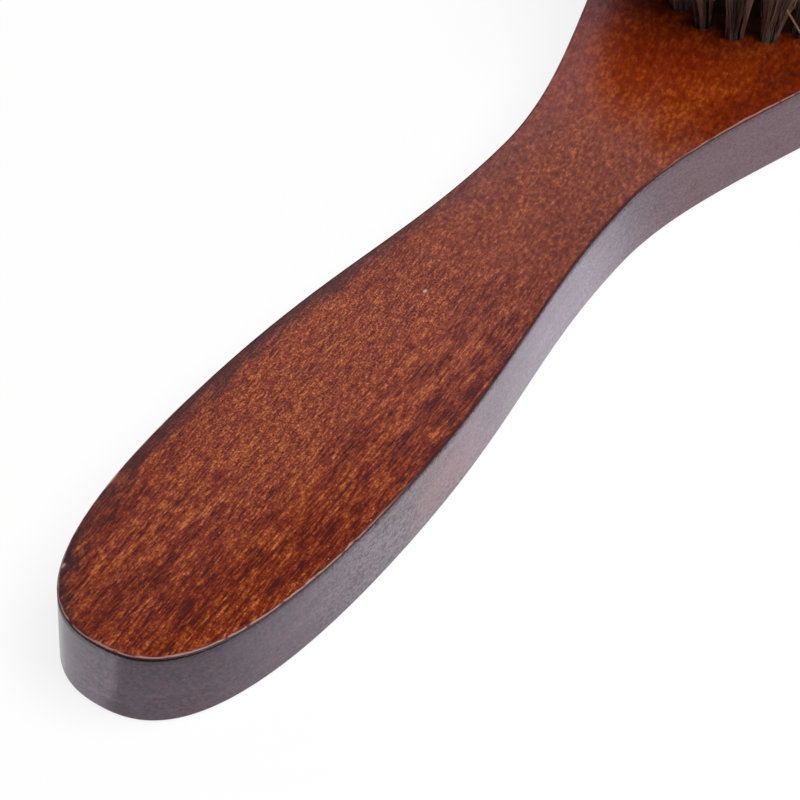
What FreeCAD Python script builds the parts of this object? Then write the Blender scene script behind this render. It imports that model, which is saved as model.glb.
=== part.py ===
import FreeCAD, Part
import itertools
import math
import os

# A shoe shine brush: one board of wood shaped into a handle, a neck and an oval head, with tufts of
# horsehair standing in blind holes in the head. Each tuft is folded in two over a flat wire anchor,
# which is driven to the bottom of the hole and bites into the wood on both sides.
# Millimetres. +X runs from the end of the handle to the toe of the head, and +Z is up. The brush lies
# on its back with the hair pointing up, and the origin is under the middle of its length.

# Body, from the end of the handle to the toe of the head
END_LENGTH = 42.0  # end of the handle to its widest place
GRIP_LENGTH = 72.0  # widest place of the handle to the neck
SHOULDER_LENGTH = 84.0  # neck to the widest place of the head
TOE_LENGTH = 44.0  # widest place of the head to the toe
HANDLE_WIDTH = 34.0
NECK_WIDTH = 22.0
HEAD_WIDTH = 57.0
THICKNESS = 12.5
EDGE_RADIUS = 0.4  # sanded edge, all round both faces

# How far each outline curve runs on in the direction that it starts and ends in, as a share of its span
END_EASE = (0.45, 0.905)
GRIP_EASE = (0.47, 0.37)
SHOULDER_EASE = (0.30, 0.39)
TOE_EASE = (0.56, 0.56)

# Hair
BRISTLE_LENGTH = 22.0  # from the face to the trimmed tips
FAN_ANGLE = 11.0  # outward lean of the outermost tufts, in degrees
RIM_WIDTH = 7.0  # outermost tufts to the edge of the head
HEEL_LAND = 42.7  # neck to the first tufts
TUFT_SPACING = 5.2  # least way from one tuft of a ring to the next, and from ring to ring
RING_START = 0.23  # how far past the middle line a ring starts, as a share of the way to its next tuft
TUFT_DIAMETER = 3.0  # where the tuft leaves its hole
TIP_GAP = 0.3  # between the two closest tufts at their trimmed tips
TRIM_ALLOWANCE = 1.0  # hair that the trimming takes off

# Holes and anchors
HOLE_CLEARANCE = 0.1  # around a tuft
HOLE_FLOOR = 4.5  # wood under a straight hole
FOLD_HEIGHT = 1.1  # hair folded under an anchor
ANCHOR_THICKNESS = 0.5
ANCHOR_HEIGHT = 2.0
ANCHOR_BITE = 0.3  # anchor end into the wood

# Places that follow from the sizes above
LENGTH = END_LENGTH + GRIP_LENGTH + SHOULDER_LENGTH + TOE_LENGTH
HANDLE_END_X = -LENGTH / 2
GRIP_X = HANDLE_END_X + END_LENGTH
NECK_X = GRIP_X + GRIP_LENGTH
HEAD_X = NECK_X + SHOULDER_LENGTH
TOE_X = HEAD_X + TOE_LENGTH
TRIM_Z = THICKNESS + BRISTLE_LENGTH
HOLE_DEPTH = THICKNESS - HOLE_FLOOR
HOLE_RADIUS = TUFT_DIAMETER / 2 + HOLE_CLEARANCE

# The tufts stand in oval rings round a straight middle row
FIELD_START_X = NECK_X + HEEL_LAND
FIELD_END_X = TOE_X - RIM_WIDTH
FIELD_X = (FIELD_START_X + FIELD_END_X) / 2
FIELD_HALF_LENGTH = (FIELD_END_X - FIELD_START_X) / 2
FIELD_HALF_WIDTH = HEAD_WIDTH / 2 - RIM_WIDTH
RING_COUNT = int(min(FIELD_HALF_LENGTH, FIELD_HALF_WIDTH) // TUFT_SPACING)
RING_STEP = FIELD_HALF_WIDTH / RING_COUNT
QUARTERS = ("toe_left", "heel_left", "heel_right", "toe_right")
OVAL_STEPS = 720  # straight steps that measure the way round an oval

UP = FreeCAD.Vector(0, 0, 1)
ORIGIN = FreeCAD.Vector(0, 0, 0)


def curve(*points):
    """One smooth edge in the plane of the back face, pulled towards the points between its ends."""
    bezier = Part.BezierCurve()
    bezier.setPoles([FreeCAD.Vector(x, y, 0) for x, y in points])
    return bezier.toShape()


def side_curves(side):
    """The four edges of one side of the outline, from the end of the handle to the toe."""
    grip_y, neck_y, head_y = (side * width / 2 for width in (HANDLE_WIDTH, NECK_WIDTH, HEAD_WIDTH))
    end = curve(
        (HANDLE_END_X, 0),
        (HANDLE_END_X, END_EASE[0] * grip_y),
        (GRIP_X - END_EASE[1] * END_LENGTH, grip_y),
        (GRIP_X, grip_y),
    )
    grip = curve(
        (GRIP_X, grip_y),
        (GRIP_X + GRIP_EASE[0] * GRIP_LENGTH, grip_y),
        (NECK_X - GRIP_EASE[1] * GRIP_LENGTH, neck_y),
        (NECK_X, neck_y),
    )
    shoulder = curve(
        (NECK_X, neck_y),
        (NECK_X + SHOULDER_EASE[0] * SHOULDER_LENGTH, neck_y),
        (HEAD_X - SHOULDER_EASE[1] * SHOULDER_LENGTH, head_y),
        (HEAD_X, head_y),
    )
    toe = curve(
        (HEAD_X, head_y),
        (HEAD_X + TOE_EASE[0] * TOE_LENGTH, head_y),
        (TOE_X, TOE_EASE[1] * head_y),
        (TOE_X, 0),
    )
    return [end, grip, shoulder, toe]


def board():
    """The wooden body before drilling: the outline at full thickness, with its sharp edges sanded off."""
    outline = Part.Wire(Part.__sortEdges__(side_curves(1) + side_curves(-1)))
    blank = Part.Face(outline).extrude(UP * THICKNESS)
    rims = [edge for edge in blank.Edges if edge.BoundBox.ZLength < EDGE_RADIUS]
    return blank.makeFillet(EDGE_RADIUS, rims)


def oval_point(half_length, half_width, turn):
    """A point of an oval about the origin, at a turn in radians from its toe."""
    return FreeCAD.Vector(half_length * math.cos(turn), half_width * math.sin(turn), 0)


def oval_walk(half_length, half_width):
    """The way walked round an oval from its toe, after each of its even turns."""
    turns = [2 * math.pi * i / OVAL_STEPS for i in range(OVAL_STEPS + 1)]
    points = [oval_point(half_length, half_width, turn) for turn in turns]
    steps = [a.distanceToPoint(b) for a, b in zip(points, points[1:])]
    return [0.0, *itertools.accumulate(steps)]


def oval_turn(walked, way):
    """The turn at which that way has been walked."""
    after = next(i for i, distance in enumerate(walked) if distance > way)
    share = (way - walked[after - 1]) / (walked[after] - walked[after - 1])
    return 2 * math.pi * (after - 1 + share) / OVAL_STEPS


def ring_placements(ring):
    """Where each tuft of a ring stands and leans. Ring 0 is the outermost."""
    half_length = FIELD_HALF_LENGTH - ring * RING_STEP
    half_width = FIELD_HALF_WIDTH - ring * RING_STEP
    walked = oval_walk(half_length, half_width)
    count = len(QUARTERS) * int(walked[-1] // (len(QUARTERS) * TUFT_SPACING))
    first = RING_START + (0.5 if ring % 2 == 0 else 0.0)  # every other ring is staggered
    lean = math.radians(FAN_ANGLE) * half_width / FIELD_HALF_WIDTH
    placements = []
    for i in range(count):
        turn = oval_turn(walked, (i + first) * walked[-1] / count)
        foot = oval_point(half_length, half_width, turn) + FreeCAD.Vector(FIELD_X, 0, THICKNESS)
        outward = oval_point(half_width, half_length, turn).normalize()
        along = UP * math.cos(lean) + outward * math.sin(lean)
        placements.append(FreeCAD.Placement(foot, FreeCAD.Rotation(UP, along)))
    return placements


def middle_row_placements():
    """The upright tufts inside the innermost ring, on the middle line."""
    half_length = FIELD_HALF_LENGTH - (RING_COUNT + 1) * RING_STEP
    gaps = max(1, int(2 * half_length // TUFT_SPACING))
    step = 2 * half_length / gaps
    return [
        FreeCAD.Placement(
            FreeCAD.Vector(FIELD_X - half_length + i * step, 0, THICKNESS), FreeCAD.Rotation()
        )
        for i in range(gaps + 1)
    ]


def round_rod(profile):
    """A solid turned about Z from the edges of its half section, closed along the axis."""
    axis = Part.LineSegment(profile[-1].Vertexes[-1].Point, profile[0].Vertexes[0].Point).toShape()
    section = Part.Face(Part.Wire(profile + [axis]))
    return section.revolve(ORIGIN, UP, 360)


def rod_section(radius, depth, *above):
    """Half section of a rod with a round foot at that depth under the face, then straight lines."""
    middle = -depth + radius
    bend = radius * math.sqrt(0.5)
    foot = Part.Arc(
        FreeCAD.Vector(0, 0, -depth),
        FreeCAD.Vector(bend, 0, middle - bend),
        FreeCAD.Vector(radius, 0, middle),
    )
    edges = [foot.toShape()]
    corners = [(radius, middle), *above]
    for (r0, z0), (r1, z1) in zip(corners, corners[1:]):
        line = Part.LineSegment(FreeCAD.Vector(r0, 0, z0), FreeCAD.Vector(r1, 0, z1))
        edges.append(line.toShape())
    return edges


def hole():
    """The drill's room, round at the bottom, with its mouth at z 0 and run on to clear the face."""
    above = HOLE_RADIUS
    return round_rod(rod_section(HOLE_RADIUS, HOLE_DEPTH, (HOLE_RADIUS, above), (0, above)))


def anchor():
    """A flat piece of wire across the hole, with its ends in the wood."""
    length = 2 * (HOLE_RADIUS + ANCHOR_BITE)
    foot = FreeCAD.Vector(-length / 2, -ANCHOR_THICKNESS / 2, -HOLE_DEPTH + FOLD_HEIGHT)
    return Part.makeBox(length, ANCHOR_THICKNESS, ANCHOR_HEIGHT, foot)


def tip_place(placement):
    """Where the middle of a tuft reaches the height of the trimmed tips."""
    along = placement.Rotation.multVec(UP)
    return placement.Base + along * (BRISTLE_LENGTH / along.z)


def tip_radius(placements):
    """Half of the room between the two tufts that are closest at their tips."""
    tips = [tip_place(placement) for placement in placements]
    closest = min(a.distanceToPoint(b) for a, b in itertools.combinations(tips, 2))
    return (closest - TIP_GAP) / 2


def untrimmed_tuft(tip):
    """A bundle of hair folded over its anchor, straight in the hole and spreading to its tip's radius."""
    fan = math.radians(FAN_ANGLE)
    reach = (BRISTLE_LENGTH + tip * math.sin(fan)) / math.cos(fan) + TRIM_ALLOWANCE
    radius = TUFT_DIAMETER / 2
    depth = HOLE_DEPTH - HOLE_CLEARANCE
    bundle = round_rod(rod_section(radius, depth, (radius, 0), (tip, reach), (0, reach)))
    return bundle.cut(anchor())


def placed(shape, placement):
    """A copy of a shape that is made at the origin, moved to one tuft's place."""
    moved = shape.copy()
    moved.Placement = placement
    return moved


def tuft_groups():
    """Name of each group of tufts, and the placements in it: a quarter of a ring, or the middle row."""
    groups = {}
    for ring in range(RING_COUNT):
        placements = ring_placements(ring)
        share = len(placements) // len(QUARTERS)
        for i, quarter in enumerate(QUARTERS):
            groups[f"ring_{ring + 1}_{quarter}"] = placements[i * share : (i + 1) * share]
    groups["middle_row"] = middle_row_placements()
    return groups


def trimmed_tufts(tuft, placements):
    """Copies of a tuft in one group's places, cut level at the height of the tips."""
    room = Part.makeBox(
        2 * LENGTH, 2 * HEAD_WIDTH, TRIM_Z, FreeCAD.Vector(-LENGTH, -HEAD_WIDTH, 0)
    )
    return [placed(tuft, placement).common(room).Solids[0] for placement in placements]


def drilled_body(placements):
    """The board with a hole for each tuft, and a slot where each anchor bites."""
    drill, bite = hole(), anchor()
    tools = [placed(shape, placement) for placement in placements for shape in (drill, bite)]
    return board().cut(tools).Solids[0]


def save(name, solids):
    shape = solids[0] if len(solids) == 1 else Part.makeCompound(solids)
    shape.exportStep(os.path.join("parts", f"{name}.step"))
    print(name, len(solids), "solids", round(shape.Volume, 2), "mm3")


def main():
    os.makedirs("parts", exist_ok=True)
    groups = tuft_groups()
    everywhere = [placement for group in groups.values() for placement in group]
    save("brush_body", [drilled_body(everywhere)])
    tuft = untrimmed_tuft(tip_radius(everywhere))
    for name, placements in groups.items():
        save(f"{name}_tufts", trimmed_tufts(tuft, placements))
        save(f"{name}_anchors", [placed(anchor(), placement) for placement in placements])


main()
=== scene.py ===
import math
from collections import namedtuple

import bpy
import numpy as np
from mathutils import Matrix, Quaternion, Vector


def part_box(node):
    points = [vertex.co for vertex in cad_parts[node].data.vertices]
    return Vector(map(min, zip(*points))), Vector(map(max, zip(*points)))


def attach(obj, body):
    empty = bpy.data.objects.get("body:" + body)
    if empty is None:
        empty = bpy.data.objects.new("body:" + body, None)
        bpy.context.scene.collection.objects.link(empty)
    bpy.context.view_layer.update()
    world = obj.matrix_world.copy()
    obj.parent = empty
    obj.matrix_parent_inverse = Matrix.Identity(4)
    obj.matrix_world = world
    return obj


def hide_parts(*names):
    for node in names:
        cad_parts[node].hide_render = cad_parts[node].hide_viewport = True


# A shoe shine brush that lies on its back: a board of stained and varnished wood with horsehair tufts.
# Metres, in the frame of the CAD model: +X from the end of the handle to the toe, +Y to the left, +Z up.
# Sizes of grain, wear and hair are in millimetres, as their names or comments say.
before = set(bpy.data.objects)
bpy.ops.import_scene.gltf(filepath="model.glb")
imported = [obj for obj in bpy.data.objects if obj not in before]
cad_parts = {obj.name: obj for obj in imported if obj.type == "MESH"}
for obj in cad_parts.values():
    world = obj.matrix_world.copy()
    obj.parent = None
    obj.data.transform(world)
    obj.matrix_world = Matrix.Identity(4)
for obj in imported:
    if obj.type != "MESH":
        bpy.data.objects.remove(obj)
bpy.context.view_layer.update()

MM = 0.001
BODY = "brush_body"
SEED = 11

# Camera: the photograph's view
CAMERA_AZIMUTH = math.radians(-148.401)
CAMERA_ELEVATION = math.radians(44.634)
CAMERA_ROLL = math.radians(3.120)
CAMERA_DISTANCE = 0.47361
CAMERA_TARGET = Vector((-0.061327, -0.006870, 0.0125))
CAMERA_LENS_MM = 154.83
CAMERA_CLIP_START = 0.01
SENSOR_MM = 36.0

# Light
SOFTBOX_SIZE = 0.9
SOFTBOX_DISTANCE = 1.2
SOFTBOX_AZIMUTH = math.radians(-80)
SOFTBOX_ELEVATION = math.radians(65)
SOFTBOX_RADIANCE = 6.9
SURROUND_DIM = 0.04
SURROUND_PALE = 0.39
PALE_AZIMUTH = math.radians(31.6)
PALE_SPREAD = (0.2, 0.6)  # cosines of the turn from that azimuth, where the pale part starts and is full
PALE_TOP = math.radians(52)
PALE_FOOT = math.radians(40)

# Floor, and where its mirror image grows dimmer as painted shade: past the handle's end, at its right, and
# past the neck
FLOOR_SIZE = 6.0
FLOOR_DROP = 0.0002
FLOOR_WHITE = 0.97
FLOOR_SHADOW_SHARE = 0.14
END_DIM_X = (-0.100, -0.118)
END_DIM_LEVEL = 0.82
RIGHT_DIM_X = (-0.070, -0.116)
RIGHT_DIM_Y = (0.0004, -0.0023)
RIGHT_DIM_LOSS = 0.45
HEAD_DIM_X = (-0.012, 0.012)
HEAD_DIM_LEVEL = 0.62

# Wood: the number of stations where its width is measured, and the upright part of the normal up to which
# a surface is a side, and from which it is a face
WIDTH_STATIONS = 64
SIDE_TO_FACE = (0.35, 0.8)

# Grain of the wood, which runs a little askew and bends to the left past a station along the handle
GRAIN_SLANT = 0.075
GRAIN_BEND = 0.001
GRAIN_BEND_START_MM = 60.0
# Layers of the grain: size of their patches in millimetres, a shift that sets their noise apart, its detail
# and roughness, and their weights on plain, streaked and calm wood
Layer = namedtuple("Layer", "length width shift detail roughness weights")
LAYERS = {
    "streak": Layer(5.0, 0.23, 3.1, 2.0, 0.6, (0.3, 0.8, 0.2)),
    "band": Layer(8.0, 0.60, 13.9, 1.0, 0.5, (0.0, 0.5, 0.0)),
    "fleck": Layer(1.4, 0.27, 53.3, 1.5, 0.5, (1.05, 1.0, 0.4)),
    "speckle": Layer(0.35, 0.27, 17.7, 1.5, 0.5, (1.6, 0.9, 0.5)),
    "mottle": Layer(0.80, 0.50, 71.5, 1.0, 0.5, (0.7, 0.8, 1.3)),
    "patch": Layer(4.0, 1.35, 29.3, 2.0, 0.5, (0.10, 0.85, 0.2)),
    "drift": Layer(24.0, 6.0, 41.9, 1.0, 0.5, (0.15, 0.55, 0.2)),
}
BLOOM_MM = (1.8, 1.0, 1.0)  # soft mottle of the head
BLOOM_SHIFT = 91.3
HEAD_BLOOM = -0.55
HEAD_GRAIN = 0.46

# Places on the faces, in millimetres: a centre along from the handle's end and to the left of the middle
# line, the reach both ways, and a change of tone or a strength
TONE_SPOTS = (
    ((4.0, -3.0), (3.5, 3.0), 0.06),
    ((10.0, -7.5), (5.0, 3.5), -0.12),
    ((11.0, -11.5), (4.0, 2.5), 0.06),
    ((11.5, 1.5), (7.0, 3.5), -0.10),
    ((20.0, -11.5), (11.0, 4.0), 0.07),
    ((22.0, -8.5), (5.0, 3.5), -0.10),
    ((28.0, -1.0), (6.0, 4.0), 0.07),
    ((37.0, -8.5), (13.0, 5.0), -0.07),
    ((40.0, -11.5), (5.0, 3.0), 0.10),
    ((55.5, -8.5), (7.0, 5.0), 0.09),
    ((67.0, -8.0), (7.0, 4.0), -0.07),
    # Painted light: this patch lightens the wood by the hair against the tufts' shade
    ((140.0, -6.5), (8.0, 4.0), 0.05),
    ((157.0, -13.5), (10.0, 5.0), -0.12),
)
CLUSTER_SPOTS = (
    ((5.5, 8.5), (6.0, 5.0), 1.0),
    ((9.5, -1.0), (5.0, 8.0), 1.0),
    ((10.5, -7.3), (3.5, 3.0), 1.5),
)
CLUSTER_START = -0.08  # noise at which a cluster starts, and at which it is full
CLUSTER_FULL = -0.30
CLUSTER_GAIN = -0.10  # change of that noise in those places
CLUSTER_WEIGHTS = (0.3, 0.65, 0.1)  # on plain, streaked and calm wood
NICK_SPOTS = (
    ((7.7, 11.7), (1.2, 0.35), 0.8),
    ((80.1, 2.5), (0.5, 0.35), 0.8),
)
SPECK_CELL_MM = 4.5
SPECK_SHIFT = (2.3, 7.1, 0.0)
SPECK_SIZES = (0.0, 0.035)  # least and largest radius, in cells
SPECK_EDGE = 0.02

# Sides, the arris and the pale line on it, rubbed and in part a painted highlight, in millimetres: sizes
# of patches, and depths under the face over which the arris and the line fade in at their foot and out at
# their top
SIDE_LAYERS_MM = (9.0, 9.0, 1.5)
SIDE_PORES_MM = (0.55, 0.55, 0.36)
SIDE_TINTS_MM = (2.6, 2.6, 1.3)
ARRIS_FOOT_MM = (0.36, 0.26)
ARRIS_TOP_MM = (0.001, 0.006)
ARRIS_REACH_MM = (5.0, 4.0)  # ways in from the edge, which keep the arris off the holes
WORN_HIGHLIGHT_FOOT_MM = (0.20, 0.12)
WORN_HIGHLIGHT_TOP_MM = (0.015, 0.05)
WORN_HIGHLIGHT_WANDER_MM = 0.18  # how far the line wanders up and down, in waves of this size
WORN_HIGHLIGHT_WAVES_MM = (3.0, 3.0, 3.0)
WORN_HIGHLIGHT_BREAKS_MM = (1.8, 1.8, 1.8)

# Colours of the faces
FACE_TONES = (
    (0.0, (0.066, 0.008, 0.003)),
    (0.25, (0.122, 0.012, 0.002)),
    (0.5, (0.204, 0.026, 0.0025)),
    (0.75, (0.350, 0.075, 0.011)),
    (1.0, (0.590, 0.178, 0.044)),
)
PORE_COLOUR = (0.040, 0.010, 0.009)
YELLOW_STAIN = (0.215, 0.060, 0.004)
HEAD_TINT = (1.06, 1.04, 0.85)
# Painted shade of the hair: a darker, redder tint of the wood beside it
NEAR_HAIR_SHADE_TINT = (1.0, 0.78, 0.68)
RIM_COLOUR = (0.052, 0.011, 0.007)
END_SOOT = (0.020, 0.010, 0.010)
# Painted shade: the wood among the tufts is made near black
TUFT_PAINTED_SHADE = (0.008, 0.008, 0.0075)
SPECK_COLOUR = (0.55, 0.30, 0.18)
NICK_COLOUR = (0.60, 0.48, 0.42)

# Colours of the sides and of the arris
SIDE_TONES = (
    (0.15, (0.018, 0.008, 0.014)),
    (0.5, (0.072, 0.035, 0.048)),
    (0.85, (0.138, 0.068, 0.086)),
)
SIDE_RED = (0.120, 0.044, 0.050)
SIDE_BLUE = (0.046, 0.036, 0.058)
SIDE_BLUSH = (0.170, 0.050, 0.050)
SIDE_OF_HEAD = (0.130, 0.038, 0.040)
SIDE_MILKY = (0.170, 0.145, 0.180)
SIDE_FOOT_SHADE = (0.020, 0.012, 0.016)
SIDE_TOP_SHADE = (0.022, 0.012, 0.014)
# Colour of a darker band under the arris
SIDE_DARK_BAND = (0.012, 0.007, 0.008)
ARRIS_COLOUR = (0.080, 0.016, 0.012)
ARRIS_GRIP_COLOUR = (0.038, 0.009, 0.008)
# Pale line of the arris: rubbed wood, and in part a painted highlight
WORN_HIGHLIGHT_END_COLOUR = (0.36, 0.21, 0.185)
WORN_HIGHLIGHT_HEAD_COLOUR = (0.30, 0.135, 0.115)

# Varnish
VARNISH_IOR = 3.0
SIDE_REFLECTION = (0.965, 0.860, 1.0)
FACE_REFLECTION = (0.955, 0.78, 1.0)
FACE_GLOSS = 0.2666
NECK_GLOSS = 0.10  # more at the left of the neck
SIDE_GLOSS = 0.312
SIDE_GLOSS_GAIN = 0.31  # towards the neck
SIDE_GLOSS_LOSS = 0.305  # beside the head
ARRIS_COVER = 0.85  # share of the arris's colour on it
ARRIS_DULLNESS = 0.85
ARRIS_ROUGHNESS = 0.5
SIDE_ROUGHNESS = (0.16, 0.29)  # at the handle's end and past it
FACE_ROUGHNESS = (0.20, 0.11)  # on dark and on light flecks
FLECK_RELIEF_MM = 0.02
SPECKLE_RELIEF_MM = 0.012
ROUNDED_TOP_MM = 0.3  # the sides look rounded in a band from this depth down
ROUNDED_BAND_MM = 1.2
ROUNDED_SLOPE = math.tan(math.radians(34))

# Hair, in millimetres from the axis of a tuft or along it
HAIRS_PER_TUFT = 112
STRANDS_PER_TUFT = 8
STRAND_RADIUS_MM = 0.14
STRAND_SPREAD_MM = 0.55
STRAND_SPREAD_POWER = 2
STRAND_LEAN_MM = 0.8
HAIR_LEAN_MM = 0.4
HAIR_WAVE_MM = 0.20
HAIR_WAVE_TURNS = (3, 9)  # least and most turn of the wave along a hair, in radians
HAIR_WAVE_START = 6  # the wave starts at up to this turn
HAIR_WAVE_GROWTH = 4  # it is full at one part in this many of the hair's height
HAIR_TRIM_MM = 0.4  # how unevenly the tips are trimmed
HAIR_ROOT_DEPTH_MM = 2.5
HAIR_RINGS = 9
HAIR_RING_EASE = 1.35  # over 1, the rings stand closer together at the foot
HAIR_SIDES = 3
HAIR_RADIUS_MM = 0.135
HAIR_RADIUS_RANGE = (0.8, 1.2)  # as shares of that radius
HAIR_TIP_SHARE = 0.62
HAIR_TONES = (
    (0.0, (0.036, 0.032, 0.028)),
    (0.30, (0.160, 0.104, 0.078)),
    (0.60, (0.290, 0.182, 0.120)),
    (1.0, (0.500, 0.320, 0.190)),
)
HAIR_FOOT_COLOUR = (0.48, 0.42, 0.39)
HAIR_FOOT_TOP = 0.14  # share of the height up to which the foot's colour reaches
HAIR_FOOT_COVER = 0.75
# Painted shade: the hairs darken towards their tips
HAIR_TIP_PAINTED_SHADE = (0.040, 0.028, 0.022)
HAIR_TIP_RISE = (0.5, 0.95)  # shares of the height where the tip's colour starts and is full
HAIR_TIP_COVER = 0.6
HAIR_ROUGHNESS = 0.42
HAIR_IOR = 1.55
STRAND_SHADES = (0.9, 1.2)  # beta draws of a strand's shade and of a hair's own, and their parts in it
HAIR_SHADES = (0.9, 1.3)
STRAND_SHADE_PART = 0.70
HAIR_SHADE_PART = 0.30
TUFT_FOOT_RADIUS_MM = 1.46
TUFT_FLARE_MM = 0.15
TUFT_FLARE_HEIGHT_MM = 4.0
TUFT_SPREAD_MM = 2.1
TUFT_SPREAD_POWER = 1.5
TIP_TOLERANCE_MM = 0.05  # corners of a CAD tuft this near to its top belong to its trimmed end
SPLAY = 0.55  # how much more than its tuft a hair's tip leans
STRAY_FOOT_MM = (41.5, -13.3)  # in the plan
STRAY_REACH_MM = 2.5  # it belongs to the tuft this near to its foot
STRAY_ROOT_MM = (-0.7, -0.8, 0.0)  # from the middle of its tuft's foot
STRAY_WAY_MM = (-6.4, 2.2, 11.0)  # from its root to its broken tip
STRAY_HAIRS = 3
STRAY_SHADE = 0.86
MAP_MARGIN = 0.5  # around a hair on the map, in steps from ring to ring
MAP_END = 0.4  # height of a hair's end on the map, in the same steps

# Wire anchors
WIRE_LINES_MM = (3.0, 0.08, 0.08)
WIRE_TONES = ((0.3, (0.42, 0.42, 0.40)), (0.7, (0.66, 0.66, 0.64)))
WIRE_ROUGHNESS = (0.28, 0.45)


class Shader:
    """Short calls that build the nodes of a material or world. A value is a number, colour or socket."""

    def __init__(self, owner):
        owner.use_nodes = True
        self.owner = owner
        self.tree = owner.node_tree
        self.tree.nodes.clear()

    def node(self, kind, **settings):
        made = self.tree.nodes.new(kind)
        for name, value in settings.items():
            setattr(made, name, value)
        return made

    def feed(self, socket, value):
        if isinstance(value, bpy.types.NodeSocket):
            self.tree.links.new(value, socket)
        else:
            socket.default_value = value

    def math(self, operation, *values, clamp=False):
        made = self.node("ShaderNodeMath", operation=operation, use_clamp=clamp)
        for socket, value in zip(made.inputs, values):
            self.feed(socket, value)
        return made.outputs[0]

    def gather(self, operation, values):
        """Joins the values one after the other by the operation."""
        found, *others = values
        for value in others:
            found = self.math(operation, found, value)
        return found

    def total(self, *values):
        return self.gather("ADD", values)

    def product(self, *values):
        return self.gather("MULTIPLY", values)

    def highest(self, *values):
        return self.gather("MAXIMUM", values)

    def rest(self, value):
        """What is left of 1."""
        return self.math("SUBTRACT", 1.0, value)

    def between(self, share, low, high):
        """Goes straight from low to high as the share goes from 0 to 1."""
        made = self.node("ShaderNodeMix", data_type="FLOAT")
        for place, value in ((0, share), (2, low), (3, high)):
            self.feed(made.inputs[place], value)
        return made.outputs[0]

    def rise(self, value, start, end, low=0.0, high=1.0):
        """Goes smoothly from low to high as the value goes from start to end."""
        made = self.node("ShaderNodeMapRange", interpolation_type="SMOOTHSTEP")
        names = ("Value", "From Min", "From Max", "To Min", "To Max")
        for name, number in zip(names, (value, start, end, low, high)):
            self.feed(made.inputs[name], number)
        return made.outputs["Result"]

    def split(self, vector):
        """The three parts of a vector."""
        made = self.node("ShaderNodeSeparateXYZ")
        self.feed(made.inputs[0], vector)
        return made.outputs

    def scaled_place(self, place, sizes, shift=(0.0, 0.0, 0.0)):
        """The place counted in steps of those sizes along the three axes."""
        made = self.node("ShaderNodeMapping")
        self.feed(made.inputs["Vector"], place)
        made.inputs["Scale"].default_value = [1 / size for size in sizes]
        made.inputs["Location"].default_value = shift
        return made.outputs["Vector"]

    def noise(self, place, sizes, shift=0.0, detail=1.0, roughness=0.5):
        """Noise about 0, with patches of about those sizes."""
        made = self.node("ShaderNodeTexNoise")
        self.feed(made.inputs["Vector"], self.scaled_place(place, sizes, (shift, shift, shift)))
        made.inputs["Scale"].default_value = 1.0
        made.inputs["Detail"].default_value = detail
        made.inputs["Roughness"].default_value = roughness
        return self.math("SUBTRACT", made.outputs["Fac"], 0.5)

    def ramp(self, value, stops):
        """The colour at a value, from stops of a place and a colour."""
        made = self.node("ShaderNodeValToRGB")
        self.feed(made.inputs["Fac"], value)
        elements = made.color_ramp.elements
        while len(elements) < len(stops):
            elements.new(1.0)
        for element, (place, colour) in zip(elements, stops):
            element.position = place
            element.color = (*colour, 1.0)
        return made.outputs["Color"]

    def mix(self, share, first, second, blend="MIX"):
        made = self.node("ShaderNodeMix", data_type="RGBA", blend_type=blend)
        self.feed(made.inputs["Factor"], share)
        for place, value in ((6, first), (7, second)):
            linked = isinstance(value, bpy.types.NodeSocket)
            self.feed(made.inputs[place], value if linked else (*value, 1.0))
        return made.outputs[2]

    def coats(self, colour, *coats):
        """Lays coats over a colour in turn, each a share and a colour of its own."""
        for share, coat in coats:
            colour = self.mix(share, colour, coat)
        return colour

    def curve(self, value, points):
        """A smooth curve through points that lie between 0 and 1."""
        made = self.node("ShaderNodeFloatCurve")
        self.feed(made.inputs["Value"], value)
        line = made.mapping.curves[0].points
        line[0].location, line[-1].location = points[0], points[-1]
        for point in points[1:-1]:
            line.new(*point)
        made.mapping.update()
        return made.outputs[0]

    def bump(self, height, distance, strength=1.0):
        made = self.node("ShaderNodeBump")
        self.feed(made.inputs["Height"], height)
        made.inputs["Distance"].default_value = distance
        made.inputs["Strength"].default_value = strength
        return made.outputs["Normal"]

    def surface(self, **values):
        """Ends a material in one Principled shader."""
        made = self.node("ShaderNodeBsdfPrincipled")
        for name, value in values.items():
            self.feed(made.inputs[name.replace("_", " ")], value)
        out = self.node("ShaderNodeOutputMaterial")
        self.tree.links.new(made.outputs["BSDF"], out.inputs["Surface"])
        return self.owner


def half_widths(mesh, stations):
    """Half of the board's width at each station along X, from the mesh edges that cross it."""
    places = np.empty(len(mesh.vertices) * 3)
    mesh.vertices.foreach_get("co", places)
    places = places.reshape(-1, 3)
    ends = np.empty(len(mesh.edges) * 2, int)
    mesh.edges.foreach_get("vertices", ends)
    first, second = places[ends[0::2]], places[ends[1::2]]
    found = []
    for station in stations:
        crossing = (first[:, 0] - station) * (second[:, 0] - station) < 0
        a, b = first[crossing], second[crossing]
        share = (station - a[:, 0]) / (b[:, 0] - a[:, 0])
        found.append(float(np.abs(a[:, 1] + share * (b[:, 1] - a[:, 1])).max()))
    return found


def hair_field():
    """Middle and half sizes of the plan of the anchors, which the outer tufts stand on, in millimetres."""
    boxes = [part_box(node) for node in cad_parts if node.endswith("_anchors")]
    low = [min(box[0][axis] for box in boxes) / MM for axis in (0, 1)]
    high = [max(box[1][axis] for box in boxes) / MM for axis in (0, 1)]
    return [(a + b) / 2 for a, b in zip(low, high)], [(b - a) / 2 for a, b in zip(low, high)]


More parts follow.
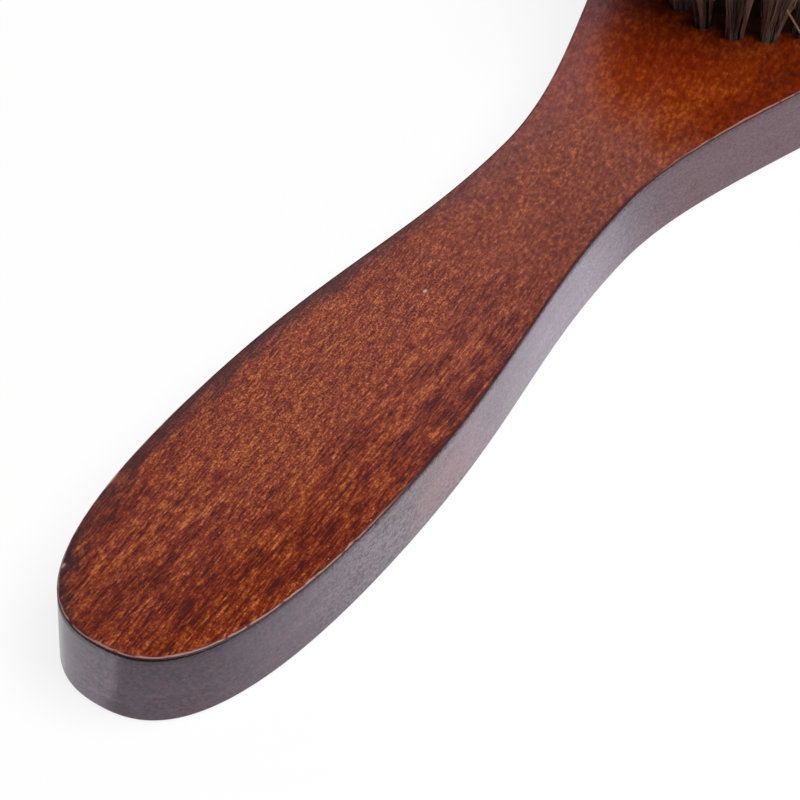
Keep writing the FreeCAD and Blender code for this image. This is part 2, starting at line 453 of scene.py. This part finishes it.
class StainedWood(Shader):
    """Reddish stained wood with fine grain along X, varnished: flecks, pores, dark edges and worn arrises
    with a painted highlight.

    Places are in millimetres: along runs from the end of the handle, y from the middle line to the left,
    depth down from the upper face, and edge_way from the edge of the board inwards. field_share grows with
    the way from the middle of the hair, and is 1 on the oval of the outermost tufts.
    """

    def __init__(self):
        super().__init__(bpy.data.materials.new("stained_wood"))
        low, high = (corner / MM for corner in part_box(BODY))
        coordinates = self.node("ShaderNodeTexCoord").outputs["Object"]
        self.place = self.scaled_place(coordinates, (MM, MM, MM))
        self.x, self.y, self.z = self.split(self.place)
        self.along = self.math("SUBTRACT", self.x, low.x)
        self.depth = self.math("SUBTRACT", high.z, self.z)
        self.edge_way = self.way_to_edge(low.x, high.x - low.x)
        self.field_share = self.oval_share((self.x, self.y), *hair_field())

        # Faces show the grain, and sides are smooth and greyish
        normal = self.node("ShaderNodeNewGeometry").outputs["Normal"]
        self.flat = self.rise(self.math("ABSOLUTE", self.split(normal)["Z"]), *SIDE_TO_FACE)

        # Streaked at the end and the right of the handle, calm from the neck on, and soft at the head
        right = self.product(self.rise(self.y, 1.0, -7.0), self.rise(self.along, 100.0, 74.0))
        self.streaked = self.highest(self.rise(self.along, 46.0, 18.0), right)
        self.calm = self.rise(self.along, 78.0, 102.0)
        self.headed = self.rise(self.along, 118.0, 134.0)
        self.grain_place = self.place_in_grain()
        self.grain = {
            name: self.noise(
                self.grain_place, (layer.length, layer.width, layer.width),
                layer.shift, layer.detail, layer.roughness,
            )
            for name, layer in LAYERS.items()
        }

        # Parts that more than one of the colour, the gloss and the relief need
        self.cluster = self.pore_clusters()
        self.left_neck = self.product(
            self.rise(self.edge_way, 8.0, 2.5),
            self.rise(self.y, 0.0, 4.0),
            self.stretch(90.0, 104.0, 146.0, 160.0),
        )
        self.tone = self.face_tone()
        self.side_pores = self.pores_of_sides()
        self.arris = self.product(
            self.rise(self.depth, *ARRIS_FOOT_MM),
            self.rise(self.depth, *ARRIS_TOP_MM),
            self.rise(self.edge_way, *ARRIS_REACH_MM),
        )

    def way_to_edge(self, start, length):
        """Way from a point of the faces to the edge of the board, from a curve of its half width."""
        shares = [(i + 0.5) / WIDTH_STATIONS for i in range(WIDTH_STATIONS)]
        stations = [(start + share * length) * MM for share in shares]
        widths = half_widths(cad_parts[BODY].data, stations)
        widest = max(widths)
        line = [(0.0, 0.0), *((share, width / widest) for share, width in zip(shares, widths)), (1.0, 0.0)]
        half_width = self.product(self.curve(self.math("DIVIDE", self.along, length), line), widest / MM)
        return self.math("SUBTRACT", half_width, self.math("ABSOLUTE", self.y))

    def place_in_grain(self):
        """The place counted along and across the slanting, bending grain."""
        past = self.math("MAXIMUM", self.math("SUBTRACT", self.along, GRAIN_BEND_START_MM), 0.0)
        sidestep = self.total(self.product(self.along, GRAIN_SLANT), self.product(past, past, GRAIN_BEND))
        joined = self.node("ShaderNodeCombineXYZ")
        for socket, value in zip(joined.inputs, (self.x, self.math("SUBTRACT", self.y, sidestep), self.z)):
            self.feed(socket, value)
        return joined.outputs[0]

    def oval_share(self, places, centre, reach):
        """The square of the way from the centre of an oval, as a share of its reach: 1 on the oval."""
        steps = [
            self.math("DIVIDE", self.math("SUBTRACT", place, middle), half)
            for place, middle, half in zip(places, centre, reach)
        ]
        return self.total(*(self.product(step, step) for step in steps))

    def spots(self, table):
        """For each row of a table of places: its strength at the centre, which fades to 0 at its reach."""
        return [
            self.product(self.rise(self.oval_share((self.along, self.y), centre, reach), 1.0, 0.0), strength)
            for centre, reach, strength in table
        ]

    def stretch(self, start, full, fade, end):
        """1 between the two middle stations along the brush, and 0 before the first and past the last."""
        return self.product(self.rise(self.along, start, full), self.rise(self.along, end, fade))

    def weight(self, plain, streaked, calm):
        """A weight that differs on plain, streaked and calm wood."""
        return self.between(self.calm, self.between(self.streaked, plain, streaked), calm)

    def pore_clusters(self):
        """Dark clusters of pores, thickest in some places at the end of the handle."""
        found = self.total(
            self.grain["patch"],
            self.product(self.grain["fleck"], 0.6),
            self.product(self.grain["streak"], 0.5),
            self.product(self.highest(*self.spots(CLUSTER_SPOTS)), CLUSTER_GAIN),
        )
        return self.product(self.rise(found, CLUSTER_START, CLUSTER_FULL), self.weight(*CLUSTER_WEIGHTS))

    def grain_tone(self):
        """Lighter and darker grain about 0, with a softer mottle at the head."""
        handle = self.total(
            *(self.product(self.grain[name], self.weight(*layer.weights)) for name, layer in LAYERS.items())
        )
        bloom = self.noise(self.grain_place, BLOOM_MM, BLOOM_SHIFT)
        head = self.total(self.product(handle, HEAD_GRAIN), self.product(bloom, HEAD_BLOOM))
        return self.between(self.headed, handle, head)

    def face_tone(self):
        """How light the stain of the faces is, from 0 to 1: grain, pores, rims, wear, and painted shade by
        the hair.
        """
        right_rim = self.product(
            self.rise(self.math("ADD", self.edge_way, self.product(self.grain["patch"], 3.0)), 3.4, 0.8),
            self.rise(self.y, -2.0, -6.0),
            self.stretch(22.0, 34.0, 66.0, 82.0),
        )
        right_of_head = self.product(
            self.rise(self.y, 0.0, -4.0), self.rise(self.edge_way, 8.0, 2.5, 0.0, 1.3)
        )
        head_rim = self.product(
            self.rise(self.along, 124.0, 138.0),
            self.highest(self.rise(self.edge_way, 6.0, 1.0, 0.0, 0.4), right_of_head),
        )
        # Painted shade: the wood darkens towards the hair, as if the tufts shaded it
        shade_near_hair = self.product(
            self.rise(self.field_share, 2.6, 2.1),
            self.rise(self.field_share, 1.2, 1.5),
            self.rise(self.y, 11.0, 7.0),
        )
        right_of_handle = self.product(self.rise(self.y, 1.0, -7.0), self.rise(self.along, 126.0, 114.0))
        changes = (
            (self.cluster, -0.28),
            (self.stretch(22.0, 38.0, 88.0, 104.0), 0.045),
            (self.stretch(42.0, 52.0, 66.0, 84.0), 0.03),
            (right_rim, -0.14),
            (self.left_neck, -0.045),
            (right_of_handle, -0.09),
            (self.headed, 0.06),
            (shade_near_hair, -0.075),
            # Painted shade, darker still nearer the tufts
            (self.rise(self.field_share, 2.2, 1.3), -0.04),
            (head_rim, -0.16),
        )
        wear = [self.product(where, change) for where, change in changes]
        return self.total(0.5, self.grain_tone(), *wear, *self.spots(TONE_SPOTS))

    def specks(self):
        """Light specks on the faces, each in its own cell."""
        cells = self.node("ShaderNodeTexVoronoi", voronoi_dimensions="2D")
        place = self.scaled_place(self.place, [SPECK_CELL_MM] * 3, SPECK_SHIFT)
        self.feed(cells.inputs["Vector"], place)
        cells.inputs["Scale"].default_value = 1.0
        chance = self.node("ShaderNodeSeparateColor")
        self.feed(chance.inputs[0], cells.outputs["Color"])
        radius = self.rise(chance.outputs[0], 0.6, 1.0, *SPECK_SIZES)
        speck = self.rise(self.math("SUBTRACT", cells.outputs["Distance"], radius), 0.0, -SPECK_EDGE)
        return self.product(speck, self.flat, self.rise(self.along, 124.0, 90.0, 0.2, 1.0))

    def face_colour(self):
        """Stain of the faces: a dark left rim, soot at the end, painted shade among the tufts, specks and
        nicks.
        """
        patch, streak, fleck, drift = (self.grain[name] for name in ("patch", "streak", "fleck", "drift"))
        yellow = self.product(self.calm, self.rise(self.along, 134.0, 122.0), 0.17)
        colour = self.coats(
            self.ramp(self.tone, FACE_TONES),
            (self.product(self.cluster, 0.35), PORE_COLOUR),
            (yellow, YELLOW_STAIN),
        )
        colour = self.mix(self.headed, colour, HEAD_TINT, blend="MULTIPLY")
        # Painted shade: darker, redder wood by the hair, except at its right side
        shade_near_hair = self.product(self.rise(self.field_share, 2.4, 1.5), self.rise(self.y, -9.0, -2.0))
        colour = self.mix(shade_near_hair, colour, NEAR_HAIR_SHADE_TINT, blend="MULTIPLY")
        streaky_edge = self.total(self.edge_way, self.product(patch, 4.0), self.product(streak, 2.0))
        rim = self.product(
            self.rise(streaky_edge, 4.0, 0.5),
            self.rise(self.math("ADD", self.y, drift), -1.0, 5.0),
            self.rise(self.along, 134.0, 66.0),
            self.rise(self.along, 18.0, 30.0, 0.65, 0.92),
        )
        ragged_edge = self.total(self.edge_way, self.product(patch, 6.0), self.product(fleck, 5.0))
        end_soot = self.product(
            self.rise(ragged_edge, 2.6, 0.6),
            self.rise(self.y, 1.0, 4.0),
            self.rise(self.along, 17.0, 10.0),
            0.7,
        )
        return self.coats(
            colour,
            (rim, RIM_COLOUR),
            (end_soot, END_SOOT),
            # Painted shade: the wood among the tufts is darkened as if shaded by them
            (self.rise(self.field_share, 1.02, 0.90, 0.0, 0.9), TUFT_PAINTED_SHADE),
            (self.product(self.specks(), 0.7), SPECK_COLOUR),
            (self.product(self.highest(*self.spots(NICK_SPOTS)), self.flat), NICK_COLOUR),
        )

    def pores_of_sides(self):
        """Fine pores of the sides about 0, faint at the handle's end and weaker past its middle."""
        layers = self.noise(self.place, SIDE_LAYERS_MM, shift=35.1)
        fine = self.noise(self.place, SIDE_PORES_MM, shift=9.4, detail=2.0, roughness=0.6)
        return self.product(
            self.total(fine, self.product(layers, 0.25)),
            self.rise(self.along, 22.0, 38.0, 0.3, 1.0),
            self.rise(self.along, 80.0, 60.0, 0.62, 1.0),
            self.rise(self.along, 136.0, 122.0, 0.6, 1.0),
        )

    def side_colour(self):
        """Stain of the sides under milky varnish: red and blue tints, painted shade, and a dark band under
        the arris.
        """
        tone = self.total(0.5, self.product(self.side_pores, 1.7), self.product(self.grain["patch"], 0.3))
        tint = self.noise(self.place, SIDE_TINTS_MM, shift=47.3)
        foot_shade = self.product(self.rise(self.z, 3.5, 0.5), self.stretch(26.0, 40.0, 56.0, 70.0), 0.6)
        top_shade = self.product(
            self.rise(self.depth, 7.0, 0.8, 0.0, 0.5), self.rise(self.along, 118.0, 88.0, 0.4, 1.0)
        )
        # Darker in a band just under the arris
        dark_band = self.product(
            self.rise(self.depth, 1.5, 0.6),
            self.rise(self.depth, 0.2, 0.34),
            self.rise(self.along, 74.0, 44.0, 0.45, 0.9),
        )
        return self.coats(
            self.ramp(tone, SIDE_TONES),
            (self.rise(tint, 0.0, 0.25, 0.0, 0.5), SIDE_RED),
            (self.rise(tint, 0.0, -0.25, 0.0, 0.5), SIDE_BLUE),
            (self.product(self.stretch(44.0, 54.0, 62.0, 74.0), 0.75), SIDE_BLUSH),
            (self.rise(self.along, 108.0, 128.0, 0.0, 0.6), SIDE_OF_HEAD),
            (self.product(self.stretch(70.0, 88.0, 98.0, 118.0), 0.6), SIDE_MILKY),
            (foot_shade, SIDE_FOOT_SHADE),
            (top_shade, SIDE_TOP_SHADE),
            (dark_band, SIDE_DARK_BAND),
        )

    def colour(self):
        """Faces, sides, and a dark arris, rubbed pale in a thin broken line at both ends that is also a
        painted highlight.
        """
        # Rubbed, pale wood on the arris, also a painted highlight at the handle's end and beside the head
        waves = self.noise(self.place, WORN_HIGHLIGHT_WAVES_MM, shift=61.7, detail=2.0)
        line = self.math("SUBTRACT", self.depth, self.product(waves, WORN_HIGHLIGHT_WANDER_MM))
        breaks = self.noise(self.place, WORN_HIGHLIGHT_BREAKS_MM, shift=83.1, detail=2.0)
        worn_highlight = self.product(
            self.arris,
            self.rise(line, *WORN_HIGHLIGHT_FOOT_MM),
            self.rise(line, *WORN_HIGHLIGHT_TOP_MM),
            self.rise(breaks, -0.22, 0.0),
            self.highest(self.rise(self.along, 52.0, 30.0), self.rise(self.along, 116.0, 136.0)),
        )
        beside_head = self.rise(self.along, 60.0, 110.0)
        return self.coats(
            self.mix(self.flat, self.side_colour(), self.face_colour()),
            (
                self.product(self.arris, ARRIS_COVER),
                self.mix(self.stretch(36.0, 50.0, 114.0, 130.0), ARRIS_COLOUR, ARRIS_GRIP_COLOUR),
            ),
            (worn_highlight, self.mix(beside_head, WORN_HIGHLIGHT_END_COLOUR, WORN_HIGHLIGHT_HEAD_COLOUR)),
        )

    def relief(self):
        """Height of the grain, and of sides that round off towards the upper arris."""
        below = self.math("SUBTRACT", self.depth, ROUNDED_TOP_MM)
        way_down = self.math("DIVIDE", below, ROUNDED_BAND_MM, clamp=True)
        rounding = self.product(
            self.math("POWER", self.rest(way_down), 2.0),
            self.rest(self.flat),
            self.rise(self.along, 122.0, 92.0, 0.5, 1.0),
            -0.5 * ROUNDED_BAND_MM * ROUNDED_SLOPE,
        )
        return self.total(
            self.product(self.grain["fleck"], FLECK_RELIEF_MM),
            self.product(self.grain["speckle"], SPECKLE_RELIEF_MM),
            rounding,
        )

    def gloss(self):
        """Strength of the varnish: sunk into pores, thin at the right of the end, and dusty by the hair."""
        sunk = self.product(self.flat, self.rise(self.tone, 0.5, 0.15, 0.0, 0.35))
        thin = self.product(self.flat, self.rise(self.y, 0.0, -11.0), self.rise(self.along, 66.0, 30.0), 0.45)
        by_hair = self.product(self.rise(self.field_share, 2.7, 2.2, 0.0, 0.4), self.rise(self.y, 10.5, 7.0))
        among_tufts = self.rise(self.field_share, 1.06, 0.95, 0.0, 0.9)
        dusty = self.product(self.flat, self.highest(by_hair, among_tufts))
        side = self.product(
            self.total(
                SIDE_GLOSS,
                self.rise(self.along, 42.0, 96.0, 0.0, SIDE_GLOSS_GAIN),
                self.rise(self.along, 100.0, 124.0, 0.0, -SIDE_GLOSS_LOSS),
            ),
            self.rise(self.side_pores, -0.2, 0.2, 0.36, 1.64),
        )
        losses = (sunk, thin, dusty, self.product(self.arris, ARRIS_DULLNESS))
        return self.product(
            self.between(self.flat, side, self.total(FACE_GLOSS, self.product(self.left_neck, NECK_GLOSS))),
            *(self.rest(loss) for loss in losses),
        )

    def roughness(self):
        """Smooth varnish on the faces, less smooth on the sides, and a matt arris."""
        side = self.rise(self.along, 8.0, 20.0, *SIDE_ROUGHNESS)
        face = self.rise(self.grain["fleck"], -0.2, 0.2, *FACE_ROUGHNESS)
        return self.between(self.arris, self.between(self.flat, side, face), ARRIS_ROUGHNESS)

    def varnished(self):
        """The finished material."""
        return self.surface(
            Base_Color=self.colour(),
            Roughness=self.roughness(),
            IOR=VARNISH_IOR,
            Specular_IOR_Level=self.gloss(),
            Specular_Tint=self.mix(self.flat, SIDE_REFLECTION, FACE_REFLECTION),
            Normal=self.bump(self.relief(), MM),
        )


def horsehair():
    """Dark horsehair: each hair has its own shade, black to tan, greyer at its foot, with painted shade at
    its tip.
    """
    shade = Shader(bpy.data.materials.new("horsehair"))
    own = shade.node("ShaderNodeAttribute", attribute_name="hair_shade").outputs["Fac"]
    height = shade.node("ShaderNodeAttribute", attribute_name="hair_height").outputs["Fac"]
    colour = shade.coats(
        shade.ramp(own, HAIR_TONES),
        (shade.rise(height, HAIR_FOOT_TOP, 0.0, 0.0, HAIR_FOOT_COVER), HAIR_FOOT_COLOUR),
        # Painted shade over the upper part of each hair
        (shade.rise(height, *HAIR_TIP_RISE, 0.0, HAIR_TIP_COVER), HAIR_TIP_PAINTED_SHADE),
    )
    return shade.surface(Base_Color=colour, Roughness=HAIR_ROUGHNESS, IOR=HAIR_IOR)


def anchor_steel():
    """Drawn steel wire with fine lines along it."""
    shade = Shader(bpy.data.materials.new("anchor_wire"))
    coordinates = shade.node("ShaderNodeTexCoord").outputs["Object"]
    drawn = shade.noise(coordinates, [size * MM for size in WIRE_LINES_MM], shift=5.3, detail=2.0)
    colour = shade.ramp(shade.math("ADD", drawn, 0.5), WIRE_TONES)
    roughness = shade.rise(drawn, -0.2, 0.2, *WIRE_ROUGHNESS)
    return shade.surface(Base_Color=colour, Metallic=1.0, Roughness=roughness)


def islands(mesh):
    """The corner points of each separate solid of a mesh, corners that coincide counted once."""
    places = np.empty(len(mesh.vertices) * 3)
    mesh.vertices.foreach_get("co", places)
    points, which = np.unique(places.reshape(-1, 3).round(7), axis=0, return_inverse=True)
    ends = np.empty(len(mesh.edges) * 2, int)
    mesh.edges.foreach_get("vertices", ends)
    a, b = which.ravel()[ends[0::2]], which.ravel()[ends[1::2]]
    label = np.arange(len(points))
    while True:
        lower = np.minimum(label[a], label[b])
        joined = label.copy()
        np.minimum.at(joined, a, lower)
        np.minimum.at(joined, b, lower)
        joined = joined[joined]
        if (joined == label).all():
            return [points[label == one] for one in np.unique(label)]
        label = joined


def tuft_axes(group):
    """Where the axis of each tuft of a CAD group leaves the face, and its direction."""
    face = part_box(BODY)[1].z
    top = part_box(f"{group}_tufts")[1].z
    anchor_solids = islands(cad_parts[f"{group}_anchors"].data)
    anchors = np.array([corners.mean(axis=0) for corners in anchor_solids])
    axes = []
    for corners in islands(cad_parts[f"{group}_tufts"].data):
        tip = corners[corners[:, 2] > top - TIP_TOLERANCE_MM * MM].mean(axis=0)
        lowest = corners[corners[:, 2].argmin()]
        foot = anchors[np.linalg.norm(anchors - lowest, axis=1).argmin()]
        direction = (tip - foot) / np.linalg.norm(tip - foot)
        axes.append((foot + direction * (face - foot[2]) / direction[2], direction))
    return axes


def tuft_radius(height, rising):
    """Radius of a tuft that opens over its foot and again towards its tips, in millimetres."""
    flare = TUFT_FLARE_MM * (1 - np.exp(-np.maximum(height, 0) / TUFT_FLARE_HEIGHT_MM))
    return TUFT_FOOT_RADIUS_MM + flare + TUFT_SPREAD_MM * rising ** TUFT_SPREAD_POWER


def hair_lines(foot, direction, top, draw):
    """The middle lines of a tuft's hairs, from in the hole to the trimmed tips, their heights and shades."""
    count = HAIRS_PER_TUFT
    side = np.cross(direction, (0.0, 1.0, 0.0))
    side /= np.linalg.norm(side)
    other = np.cross(direction, side)

    # Strands stand round the tuft like the seeds of a sunflower
    strand = np.arange(count) % STRANDS_PER_TUFT
    golden = math.pi * (3 - math.sqrt(5))
    share = np.sqrt((strand + 0.5) / STRANDS_PER_TUFT)[:, None]
    turn = (strand * golden + draw.random() * 2 * math.pi)[:, None]

    # Heights of the rings along each hair, and their share of the way up
    span = (top - foot[2]) / MM
    trim = span - draw.random(count)[:, None] * HAIR_TRIM_MM
    steps = np.linspace(0, 1, HAIR_RINGS)[None, :] ** HAIR_RING_EASE
    height = -HAIR_ROOT_DEPTH_MM + steps * (trim / direction[2] + HAIR_ROOT_DEPTH_MM)
    rising = np.maximum(height, 0) / span

    # How far each hair leans, waves and strays from its strand, both ways across the tuft
    strand_lean = draw.normal(0, STRAND_LEAN_MM, (2, STRANDS_PER_TUFT, 1))[:, strand]
    lean = (strand_lean + draw.normal(0, HAIR_LEAN_MM, (2, count, 1))) * rising
    swing = draw.normal(0, HAIR_WAVE_MM, (2, count, 1))
    swing_turns = rising * draw.uniform(*HAIR_WAVE_TURNS, (2, count, 1))
    swing_start = draw.random((2, count, 1)) * HAIR_WAVE_START
    wave = swing * np.sin(swing_turns + swing_start) * np.minimum(rising * HAIR_WAVE_GROWTH, 1)
    strand_radius = STRAND_RADIUS_MM + STRAND_SPREAD_MM * rising ** STRAND_SPREAD_POWER
    loose = draw.normal(0, 1, (2, count, 1)) * strand_radius
    reach = share * tuft_radius(height, rising)
    across = reach * np.cos(turn) + lean[0] + wave[0] + loose[0]
    beside = reach * np.sin(turn) + lean[1] + wave[1] + loose[1]
    lines = (
        foot
        + height[..., None] * MM * (direction + SPLAY * rising[..., None] * direction * (1, 1, 0))
        + across[..., None] * MM * side
        + beside[..., None] * MM * other
    )
    strand_shades = draw.beta(*STRAND_SHADES, STRANDS_PER_TUFT)[strand]
    shades = STRAND_SHADE_PART * strand_shades + HAIR_SHADE_PART * draw.beta(*HAIR_SHADES, count)

    # A few hairs of one tuft are broken, and stray together
    if np.linalg.norm(foot[:2] / MM - STRAY_FOOT_MM) < STRAY_REACH_MM:
        way = np.array(STRAY_ROOT_MM) + np.linspace(0, 1, HAIR_RINGS)[:, None] * np.array(STRAY_WAY_MM)
        abreast = np.arange(STRAY_HAIRS)[:, None, None] * HAIR_RADIUS_MM * side
        lines[:STRAY_HAIRS] = foot + (way + abreast) * MM
        shades[:STRAY_HAIRS] = STRAY_SHADE
    return lines, rising, shades


def hair_shell():
    """Faces of one hair by its corners, its sides ring by ring and then its two ends, and their map."""
    faces, places = [], []
    for ring in range(HAIR_RINGS - 1):
        for k in range(HAIR_SIDES):
            after = (k + 1) % HAIR_SIDES
            low, high = ring * HAIR_SIDES, (ring + 1) * HAIR_SIDES
            faces.append((low + k, low + after, high + after, high + k))
            places += [(k, ring), (k + 1, ring), (k + 1, ring + 1), (k, ring + 1)]
    last = HAIR_RINGS - 1
    faces += [
        tuple(reversed(range(HAIR_SIDES))),
        tuple(range(last * HAIR_SIDES, HAIR_RINGS * HAIR_SIDES)),
    ]
    places += [(k, -MAP_END if k else 0) for k in reversed(range(HAIR_SIDES))]
    places += [(k, last + MAP_END if k else last) for k in range(HAIR_SIDES)]
    size = (HAIR_SIDES + 2 * MAP_MARGIN, last + 2 * (MAP_END + MAP_MARGIN))
    return faces, (np.array(places) + (MAP_MARGIN, MAP_MARGIN + MAP_END)) / size


def hair_piece(name, axes, top, draw):
    """One mesh of thin tapered hairs for a group of tufts, each with its own shade and place on the map."""
    found = [hair_lines(foot, direction, top, draw) for foot, direction in axes]
    lines, heights, shades = (np.concatenate(part) for part in zip(*found))
    count = len(lines)
    thick = HAIR_RADIUS_MM * MM * draw.uniform(*HAIR_RADIUS_RANGE, count)
    taper = np.linspace(1, HAIR_TIP_SHARE, HAIR_RINGS)
    turns = np.arange(HAIR_SIDES) * 2 * math.pi / HAIR_SIDES
    circle = np.stack([np.cos(turns), np.sin(turns), np.zeros(HAIR_SIDES)], axis=1)
    rings = lines[:, :, None, :] + (thick[:, None] * taper)[:, :, None, None] * circle

    own_faces, own_map = hair_shell()
    per_hair = HAIR_RINGS * HAIR_SIDES
    firsts = range(0, count * per_hair, per_hair)
    faces = [tuple(first + corner for corner in face) for first in firsts for face in own_faces]
    mesh = bpy.data.meshes.new(name)
    mesh.from_pydata(rings.reshape(-1, 3).tolist(), [], faces)
    columns = math.ceil(math.sqrt(count))
    cells = np.stack([np.arange(count) % columns, np.arange(count) // columns], axis=1)
    layer = mesh.uv_layers.new(name="OFBake")
    layer.data.foreach_set("uv", ((cells[:, None, :] + own_map) / columns).ravel())
    for attribute, values in (
        ("hair_shade", np.repeat(shades, per_hair)),
        ("hair_height", np.repeat(heights.reshape(-1), HAIR_SIDES)),
    ):
        mesh.attributes.new(attribute, "FLOAT", "POINT").data.foreach_set("value", values)
    mesh.polygons.foreach_set("use_smooth", [True] * len(mesh.polygons))
    mesh.update()
    piece = bpy.data.objects.new(name, mesh)
    bpy.context.scene.collection.objects.link(piece)
    return piece


def dress():
    """Gives every CAD node its finish, and puts hair in the place of the plain tufts."""
    wood, hair, steel = StainedWood().varnished(), horsehair(), anchor_steel()
    draw = np.random.default_rng(SEED)
    for node, made in sorted(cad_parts.items()):
        if node.endswith("_tufts"):
            group = node.removesuffix("_tufts")
            piece = hair_piece(f"{group}_hair", tuft_axes(group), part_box(node)[1].z, draw)
            piece.data.materials.append(hair)
            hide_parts(node)
            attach(piece, "root")
        else:
            finish = wood if node == BODY else steel
            made.data.materials.clear()
            made.data.materials.append(finish)


def white_floor():
    """Plain white: even to the camera but for the object's shadow, and dimmer in some mirror images as
    painted shade.
    """
    shade = Shader(bpy.data.materials.new("white_floor"))
    path = shade.node("ShaderNodeLightPath").outputs
    matte = shade.node("ShaderNodeBsdfDiffuse")
    matte.inputs["Color"].default_value = (FLOOR_WHITE, FLOOR_WHITE, FLOOR_WHITE, 1.0)
    glow = shade.node("ShaderNodeEmission")
    x, y, _ = shade.split(shade.node("ShaderNodeTexCoord").outputs["Object"])
    # Painted shade: the glow that mirror images show is dimmer by the handle's end, at its right and by the
    # head
    dim_right = shade.product(shade.rise(x, *RIGHT_DIM_X), shade.rise(y, *RIGHT_DIM_Y), -RIGHT_DIM_LOSS)
    level = shade.product(
        shade.math("ADD", 1.0, dim_right),
        shade.rise(x, *END_DIM_X, 1.0, END_DIM_LEVEL),
        shade.rise(x, *HEAD_DIM_X, 1.0, HEAD_DIM_LEVEL),
    )
    shade.feed(glow.inputs["Strength"], shade.highest(level, path["Is Camera Ray"]))
    seen = shade.product(path["Is Camera Ray"], 1 - FLOOR_SHADOW_SHARE)
    both = shade.node("ShaderNodeMixShader")
    shade.feed(both.inputs[0], shade.highest(seen, path["Is Glossy Ray"], path["Is Transmission Ray"]))
    shade.feed(both.inputs[1], matte.outputs[0])
    shade.feed(both.inputs[2], glow.outputs[0])
    out = shade.node("ShaderNodeOutputMaterial")
    shade.feed(out.inputs["Surface"], both.outputs[0])
    return shade.owner


def floor():
    """A flat square under the brush."""
    half = FLOOR_SIZE / 2
    corners = [(x, y, -FLOOR_DROP) for x, y in ((-half, -half), (half, -half), (half, half), (-half, half))]
    mesh = bpy.data.meshes.new("floor")
    mesh.from_pydata(corners, [], [(0, 1, 2, 3)])
    mesh.materials.append(white_floor())
    plane = bpy.data.objects.new("floor", mesh)
    bpy.context.scene.collection.objects.link(plane)


def surround():
    """A studio room that is pale on one side near the floor and dim elsewhere, and white to the camera."""
    shade = Shader(bpy.data.worlds.new("studio"))
    bpy.context.scene.world = shade.owner
    x, y, z = shade.split(shade.node("ShaderNodeTexCoord").outputs["Generated"])
    towards = shade.total(
        shade.product(x, math.cos(PALE_AZIMUTH)), shade.product(y, math.sin(PALE_AZIMUTH))
    )
    pale = shade.product(
        shade.rise(towards, *PALE_SPREAD), shade.rise(z, math.sin(PALE_TOP), math.sin(PALE_FOOT))
    )
    level = shade.rise(pale, 0.0, 1.0, SURROUND_DIM, SURROUND_PALE)
    seen = shade.node("ShaderNodeLightPath").outputs["Is Camera Ray"]
    glow = shade.node("ShaderNodeBackground")
    shade.feed(glow.inputs["Strength"], shade.highest(level, seen))
    out = shade.node("ShaderNodeOutputWorld")
    shade.feed(out.inputs["Surface"], glow.outputs[0])


def direction_of(azimuth, elevation):
    """The direction at an azimuth from +X and a height over the horizon."""
    flat = math.cos(elevation)
    return Vector((flat * math.cos(azimuth), flat * math.sin(azimuth), math.sin(elevation)))


def softbox():
    """A large soft lamp above the brush, on its right."""
    lamp = bpy.data.lights.new("softbox", "AREA")
    lamp.shape = "SQUARE"
    lamp.size = SOFTBOX_SIZE
    lamp.energy = SOFTBOX_RADIANCE * math.pi * SOFTBOX_SIZE ** 2
    held = bpy.data.objects.new("softbox", lamp)
    away = direction_of(SOFTBOX_AZIMUTH, SOFTBOX_ELEVATION)
    held.location = SOFTBOX_DISTANCE * away
    held.rotation_mode = "QUATERNION"
    held.rotation_quaternion = (-away).to_track_quat("-Z", "Y")
    bpy.context.scene.collection.objects.link(held)


def camera():
    """The photograph's camera."""
    lens = bpy.data.cameras.new("camera")
    lens.sensor_width = SENSOR_MM
    lens.lens = CAMERA_LENS_MM
    lens.clip_start = CAMERA_CLIP_START
    held = bpy.data.objects.new("camera", lens)
    away = direction_of(CAMERA_AZIMUTH, CAMERA_ELEVATION)
    held.location = CAMERA_TARGET + CAMERA_DISTANCE * away
    held.rotation_mode = "QUATERNION"
    held.rotation_quaternion = (-away).to_track_quat("-Z", "Y") @ Quaternion((0, 0, 1), CAMERA_ROLL)
    bpy.context.scene.collection.objects.link(held)
    bpy.context.scene.camera = held


dress()
floor()
surround()
softbox()
camera()
bpy.context.scene.view_settings.view_transform = "Standard"
